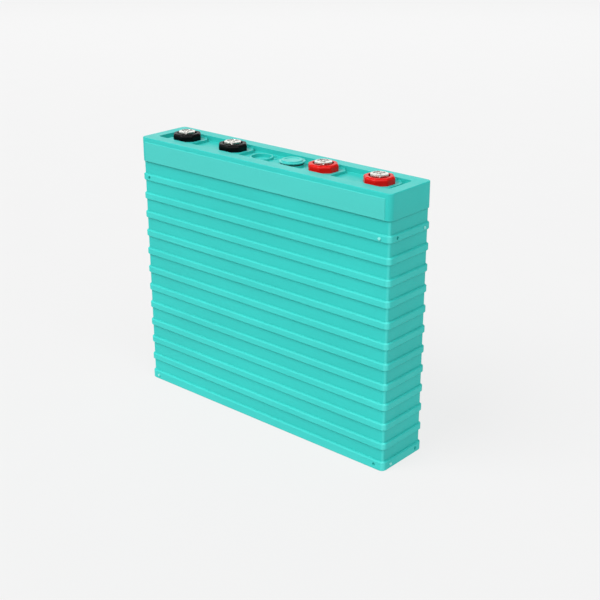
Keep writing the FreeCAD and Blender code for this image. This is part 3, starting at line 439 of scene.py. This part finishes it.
def prism(name, low_outline, high_outline, low, high):
    """A solid between two outlines of (x, y) points with the same number of corners."""
    points = [(x, y, low) for x, y in low_outline] + [(x, y, high) for x, y in high_outline]
    return solid(name, points, swept_faces(1, len(low_outline)))


def combined(item, others, operation):
    """The item's mesh after a boolean with each of the others, which are used up."""
    for other in others:
        step = item.modifiers.new("join", "BOOLEAN")
        step.operation = operation
        step.solver = "EXACT"
        step.object = other
    settled = item.evaluated_get(bpy.context.evaluated_depsgraph_get())
    mesh = bpy.data.meshes.new_from_object(settled)
    for used in (item, *others):
        bpy.data.objects.remove(used)
    return mesh


def freed(item):
    """The mesh of an object that is no longer needed."""
    mesh = item.data
    bpy.data.objects.remove(item)
    return mesh


def middle_x(node):
    """Where the middle of the node's box is along the cell."""
    low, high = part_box(node)
    return (low.x + high.x) / 2


def fitted(node, meshes, along, materials, body, slot):
    """One piece from meshes made about the axis, set over the node's place and riding on its body."""
    name = f"{node}_shaped"
    joined = bmesh.new()
    for mesh in meshes:
        joined.from_mesh(mesh)
    bmesh.ops.translate(joined, verts=joined.verts, vec=(along, 0.0, 0.0))
    mesh = bpy.data.meshes.new(name)
    joined.to_mesh(mesh)
    joined.free()
    mesh.shade_smooth()
    mesh.set_sharp_from_angle(angle=SHARP_ANGLE)
    mesh.materials.clear()
    mesh.materials.append(materials[slot])
    piece = placed(name, mesh)
    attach(piece, body)
    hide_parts(node)
    return piece


def thread(height, angle, pitch):
    """Surface of a right-handed thread at that place: 0 in its flat root, 1 on its flat crest."""
    turn = (height / pitch - angle / math.tau) % 1.0
    flank = 1.0 - abs(2.0 * turn - 1.0)
    return held(flank * 1.5 - 0.2)


def thread_cut(height, angle, pitch, start, lead_in, end):
    """Share of the thread's depth that is cut away at that place.

    The crests taper in over the lead-in above the start, and the roots run out below the end.
    """
    crest = thread(height, angle, pitch)
    lead = held((height - start) / lead_in)
    fade = held((end - height) / pitch)
    return (1.0 - crest) * fade + (1.0 - lead) * crest


def rows(start, end, step):
    """Heights from start to end, both included, about a step apart."""
    count = max(1, round((end - start) / step))
    return [start + (end - start) * index / count for index in range(count + 1)]


def cross_outline(arm, span):
    """Corners of a cross with arms of half width arm that reach out to span."""
    return [
        (span, -arm), (span, arm), (arm, arm), (arm, span), (-arm, span), (-arm, arm),
        (-span, arm), (-span, -arm), (-arm, -arm), (-arm, -span), (arm, -span), (arm, -arm),
    ]


def make_head_mesh(head_low, top):
    """Hexagon head, 13 mm across flats, with bevelled corners, a dished top and a cross recess."""
    flat = 6.5 * MM
    corner = flat / math.cos(math.pi / 6)
    first_corner = math.radians(10)
    recess_turn = math.radians(-20)
    dish = 0.4 * MM
    outline = []
    for step in range(6):
        angle = first_corner + step * math.pi / 3
        outline.append((corner * math.cos(angle), corner * math.sin(angle)))
    head = prism("head", outline, outline, head_low, top)
    points, faces = turned([
        (0.0, top - dish), (4.4 * MM, top - dish), (4.65 * MM, top - 0.6 * dish),
        (4.9 * MM, top), (flat - 0.3 * MM, top), (flat + 0.05 * MM, top - 0.13 * MM),
        (flat + 0.4 * MM, top - 0.36 * MM), (flat + 0.8 * MM, top - 0.78 * MM),
        (flat + 1.1 * MM, top - 1.2 * MM), (flat + 1.1 * MM, head_low + 0.25 * MM),
        (flat + 0.8 * MM, head_low), (0.0, head_low),
    ], DOME_STEPS)
    bevelled = combined(head, [solid("dome", points, faces)], "INTERSECT")
    slim = cross_outline(0.5 * MM, 2.1 * MM)
    wide = cross_outline(0.65 * MM, 3.4 * MM)
    recess = prism("recess", slim, wide, top - 2.0 * MM, top + 0.1 * MM)
    recess.data.transform(Matrix.Rotation(recess_turn, 4, "Z"))
    return combined(placed("head", bevelled), [recess], "DIFFERENCE")


def make_shank_mesh(tip, head_low):
    """Threaded shank that runs out below the head and starts with a tapered lead."""
    neck = head_low - 1.0 * MM
    inside_head = head_low + 0.5 * MM

    def groove(reach, height, angle):
        if reach < SCREW_RADIUS * 0.999:
            return reach
        cut = thread_cut(height, angle, SCREW_PITCH, tip, 0.9 * MM, neck)
        return SCREW_RADIUS - SCREW_THREAD_DEPTH * cut

    profile = [(0.0, tip), (SCREW_RADIUS - SCREW_THREAD_DEPTH, tip)]
    for height in rows(tip + 0.05 * MM, neck, SCREW_PITCH / 8):
        profile.append((SCREW_RADIUS, height))
    profile += [(SCREW_RADIUS, inside_head), (0.0, inside_head)]
    points, faces = turned(profile, SHANK_STEPS, groove)
    return freed(solid("shank", points, faces))


def make_screw_meshes():
    """Head and shank of a terminal screw."""
    low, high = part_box("negative_screw_outer")
    head_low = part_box("negative_spring_washer_outer")[1].z
    return [make_head_mesh(head_low, high.z), make_shank_mesh(low.z, head_low)]


def make_spring_washer_mesh():
    """A ring of softened square wire, split at the front with slanted ends a hair apart in height."""
    low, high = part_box("negative_spring_washer_outer")
    inner = SCREW_RADIUS + 0.1 * MM
    outer = (high.x - low.x) / 2
    rise = 0.12 * MM
    thick = high.z - low.z - rise
    soft = 0.22 * MM
    gap_angle = 0.13
    slant_angle = 0.16
    section = [
        (inner + soft, 0.0), (outer - soft, 0.0), (outer - 0.3 * soft, 0.3 * soft), (outer, soft),
        (outer, thick - soft), (outer - 0.3 * soft, thick - 0.3 * soft), (outer - soft, thick),
        (inner + soft, thick), (inner + 0.3 * soft, thick - 0.3 * soft), (inner, thick - soft),
        (inner, soft), (inner + 0.3 * soft, 0.3 * soft),
    ]
    points = []
    for step in range(WASHER_STEPS + 1):
        share = step / WASHER_STEPS
        for radius, height in section:
            slant = slant_angle * (radius - inner) / (outer - inner)
            angle = -math.pi / 2 + gap_angle / 2 - slant + (math.tau - gap_angle) * share
            lift = low.z + height + rise * (1.0 - share)
            points.append((radius * math.cos(angle), radius * math.sin(angle), lift))
    faces = swept_faces(WASHER_STEPS, len(section))
    return freed(solid("spring_washer", points, faces))


def make_terminal_hardware(materials):
    """A threaded screw and a sprung washer for each terminal."""
    kinds = (
        ("screw", "screw", make_screw_meshes()),
        ("spring_washer", "washers", [make_spring_washer_mesh()]),
    )
    for pattern in TERMINALS:
        along = middle_x(pattern.format("washer"))
        for kind, body_kind, meshes in kinds:
            node = pattern.format(kind)
            body = pattern.format(body_kind)
            fitted(node, meshes, along, materials, body, "bright_steel")


def make_cap(materials):
    """Vent cap with a threaded hollow stem, ports in its neck and a wavy gripping edge."""
    low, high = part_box("vent_cap")
    gasket_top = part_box("vent_gasket")[1].z
    stem = 7.0 * MM
    neck = 8.6 * MM
    flange = (high.x - low.x) / 2
    crown = 8.2 * MM
    chamber = 5.4 * MM
    flange_low = high.z - 1.7 * MM
    flange_high = flange_low + 0.8 * MM
    thread_top = gasket_top - 1.2 * MM
    wave = 0.2 * MM

    def shaped(reach, height, angle):
        if reach > neck + 0.5 * MM:
            depth = wave * (1.0 - math.cos(CAP_LOBES * angle))
            return reach - depth * min(1.0, (reach - neck) / (flange - neck))
        if abs(reach - stem) < 0.01 * MM and height < thread_top:
            cut = thread_cut(height, angle, CAP_PITCH, low.z, 1.2 * MM, thread_top)
            return reach - CAP_THREAD_DEPTH * cut
        return reach

    profile = [
        (0.0, high.z - 0.5 * MM), (5.2 * MM, high.z - 0.5 * MM), (5.6 * MM, high.z - 0.42 * MM),
        (5.9 * MM, high.z - 0.12 * MM), (6.25 * MM, high.z), (crown - 0.5 * MM, high.z),
        (crown - 0.15 * MM, high.z - 0.1 * MM), (crown, high.z - 0.4 * MM),
        (crown, flange_high + 0.2 * MM), (crown + 0.3 * MM, flange_high + 0.02 * MM),
        (neck + 0.6 * MM, flange_high), (flange - 0.45 * MM, flange_high),
        (flange - 0.12 * MM, flange_high - 0.12 * MM), (flange, flange_high - 0.4 * MM),
        (flange - 0.06 * MM, flange_low + 0.12 * MM), (flange - 0.25 * MM, flange_low),
        (neck + 0.2 * MM, flange_low), (neck, flange_low - 0.1 * MM), (neck, gasket_top),
        (stem, gasket_top),
    ]
    stem_rows = rows(low.z + 0.05 * MM, gasket_top - 0.2 * MM, CAP_PITCH / 8)
    profile += [(stem, height) for height in reversed(stem_rows)]
    profile += [
        (stem - CAP_THREAD_DEPTH, low.z), (chamber, low.z), (chamber, flange_low), (0.0, flange_low),
    ]
    points, faces = turned(profile, CAP_STEPS, shaped)
    cap = solid("cap", points, faces)

    middle = (gasket_top + flange_low) / 2
    port_radius = 0.35 * MM
    port_start = 4.0 * MM
    port_end = 10.0 * MM
    port_count = 6
    bore, bore_faces = turned([
        (0.0, port_start), (port_radius, port_start), (port_radius, port_end), (0.0, port_end),
    ], PORT_STEPS)
    ports = []
    for number in range(port_count):
        angle = number * math.tau / port_count
        across = []
        for x, y, z in bore:
            port_x = z * math.cos(angle) - x * math.sin(angle)
            port_y = z * math.sin(angle) + x * math.cos(angle)
            across.append((port_x, port_y, middle + y))
        ports.append(solid("port", across, bore_faces))
    mesh = combined(cap, ports, "DIFFERENCE")
    fitted("vent_cap", [mesh], middle_x("vent_cap"), materials, "vent_cap", "cap_plastic")


def make_valve_spring(materials):
    """Coil spring with closed ends, which shortens under the cap's roof as the relief valve lifts."""
    low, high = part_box("valve_spring")
    along = middle_x("vent_cap")
    start = low.z + SPRING_WIRE
    climb = high.z - low.z - 2 * SPRING_WIRE
    closed = 0.5 / SPRING_TURNS
    points = []
    for step in range(COIL_STEPS + 1):
        share = step / COIL_STEPS
        angle = math.tau * SPRING_TURNS * share
        lift = start + climb * held((share - closed) / (1.0 - 2 * closed))
        for side in range(COIL_SIDES):
            around = math.tau * side / COIL_SIDES
            reach = SPRING_RADIUS + SPRING_WIRE * math.cos(around)
            height = lift + SPRING_WIRE * math.sin(around)
            points.append((reach * math.cos(angle), reach * math.sin(angle), height))
    coil = freed(solid("coil", points, swept_faces(COIL_STEPS, COIL_SIDES)))
    spring = fitted("valve_spring", [coil], along, materials, "vent_cap", "bright_steel")
    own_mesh(spring)


# ---------------------------------------------------------------- studio
def aimed(name, data, place, target):
    """A camera or a light at the place, turned towards the target."""
    item = placed(name, data)
    item.location = place
    item.rotation_euler = (Vector(target) - Vector(place)).to_track_quat("-Z", "Y").to_euler()
    return item


def add_camera():
    """The camera, which looks down at the front and the positive end."""
    data = bpy.data.cameras.new("camera")
    data.lens = CAMERA_LENS
    bpy.context.scene.camera = aimed("camera", data, CAMERA_PLACE, CAMERA_TARGET)


def add_light(name, place, energy, spread):
    """A wide soft light as far away as can be, from the direction of the place."""
    data = bpy.data.lights.new(name, "SUN")
    data.energy = energy
    data.angle = math.radians(spread)
    aimed(name, data, place, (0.0, 0.0, 0.0))


def add_backdrop():
    """A large dim softbox behind the cell and to its left, which gives the top faces their sheen."""
    data = bpy.data.lights.new("backdrop", "AREA")
    data.shape = "RECTANGLE"
    data.size = 3.0
    data.size_y = 1.3
    data.energy = 14.0
    aimed("backdrop", data, (-1.6, 1.8, 1.15), (0.0, 0.0, 0.2))


def add_studio():
    """Dim surroundings, two wide soft lights from above and a softbox behind."""
    world = bpy.data.worlds.new("studio")
    world.use_nodes = True
    back = world.node_tree.nodes["Background"]
    back.inputs["Color"].default_value = (1.0, 1.0, 1.0, 1.0)
    back.inputs["Strength"].default_value = 0.25
    bpy.context.scene.world = world
    add_light("front_light", (-0.30, -0.68, 0.84), 2.50, 45)
    add_light("right_light", (0.62, -0.35, 0.75), 1.40, 50)
    add_backdrop()


def add_floor():
    """A plain pale floor out to the horizon, which glows so that it stays even."""
    reach = 150.0
    paper = (0.10, 0.10, 0.10)
    darker_paper = (0.092, 0.092, 0.092)
    mesh = bpy.data.meshes.new("floor")
    corners = [(-reach, -reach, 0), (reach, -reach, 0), (reach, reach, 0), (-reach, reach, 0)]
    mesh.from_pydata(corners, [], [(0, 1, 2, 3)])
    floor = placed("floor", mesh)
    finish = Finish("floor_paper", paper, 0.9, Emission_Strength=0.78)
    finish.shader.inputs["Emission Color"].default_value = (1.0, 1.0, 1.0, 1.0)
    finish.shader.inputs["Specular IOR Level"].default_value = 0.0
    finish.tint(finish.remap(finish.clouds(60 * MM, 3.0), 0.3, 0.7, 0.0, 0.3), darker_paper)
    mesh.materials.append(finish.done())


def main():
    bpy.context.scene.view_settings.view_transform = "Standard"
    add_camera()
    add_studio()
    add_floor()
    materials = make_materials()
    finish_nodes(materials)
    make_terminal_hardware(materials)
    make_cap(materials)
    make_valve_spring(materials)


main()
